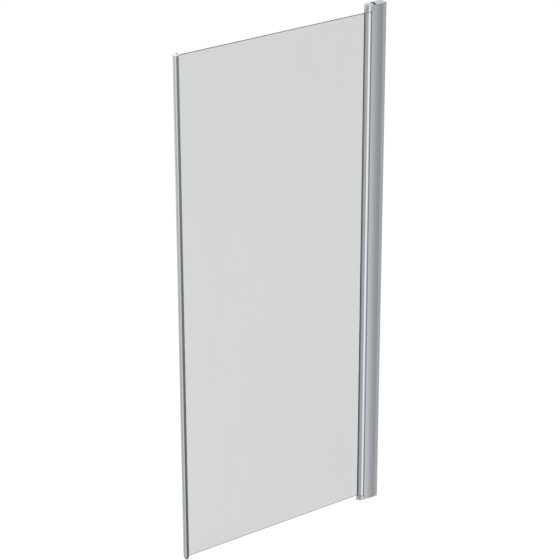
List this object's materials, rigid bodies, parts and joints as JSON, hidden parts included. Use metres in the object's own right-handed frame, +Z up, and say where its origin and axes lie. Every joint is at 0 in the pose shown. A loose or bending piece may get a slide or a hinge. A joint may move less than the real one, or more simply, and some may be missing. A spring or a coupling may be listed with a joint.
{
  "type": "shower door",
  "caption": "Pivoting glass shower door: a clear pane gripped by a turning barrel profile in an adjustable wall-fixed aluminium post, with a rounded profile on its free edge.",
  "frame": {"origin": "centre of the wall channel's face against the wall, at half the column's height", "axes": "+X from the leaf into the wall, -Y into the room, +Z up"},
  "size_m": [0.8125, 0.0352, 1.85],
  "materials": {
    "silver_anodised_aluminium": "satin anodised",
    "silver_grey_polymer": "satin moulded",
    "dark_grey_rubber": "smooth matt",
    "clear_glass": "polished",
    "stainless_steel": "plain",
    "white_acetal": "smooth",
    "black_pad_rubber": "matt"
  },
  "bodies": {
    "column": {"wall_channel": "silver_anodised_aluminium", "hinge_post": "silver_anodised_aluminium", "top_bearing_block": "silver_grey_polymer", "bottom_bearing_block": "silver_grey_polymer", "top_bush": "white_acetal", "bottom_bush": "white_acetal", "thrust_washer": "stainless_steel", "top_post_cap": "silver_grey_polymer", "bottom_post_cap": "silver_grey_polymer", "block_screws": "stainless_steel", "post_screws": "stainless_steel", "wiper_seal": "dark_grey_rubber"},
    "door": {"pivot_profile": "silver_anodised_aluminium", "edge_profile": "silver_anodised_aluminium", "top_barrel_cap": "silver_grey_polymer", "bottom_barrel_cap": "silver_grey_polymer", "top_edge_cap": "silver_grey_polymer", "bottom_edge_cap": "silver_grey_polymer", "top_pivot_pin": "stainless_steel", "bottom_pivot_pin": "stainless_steel", "front_hinge_gasket": "dark_grey_rubber", "rear_hinge_gasket": "dark_grey_rubber", "front_grip_strip": "dark_grey_rubber", "rear_grip_strip": "dark_grey_rubber", "hinge_setting_pads": "black_pad_rubber", "edge_tape": "black_pad_rubber", "glass_pane": "clear_glass"}
  },
  "joints": [
    {"name": "door_swing", "type": "hinge", "parent": "column", "child": "door", "pos_m": [-0.0616, 0, 0], "axis": [0, 0, 1], "range_deg": [0, 90]}
  ]
}
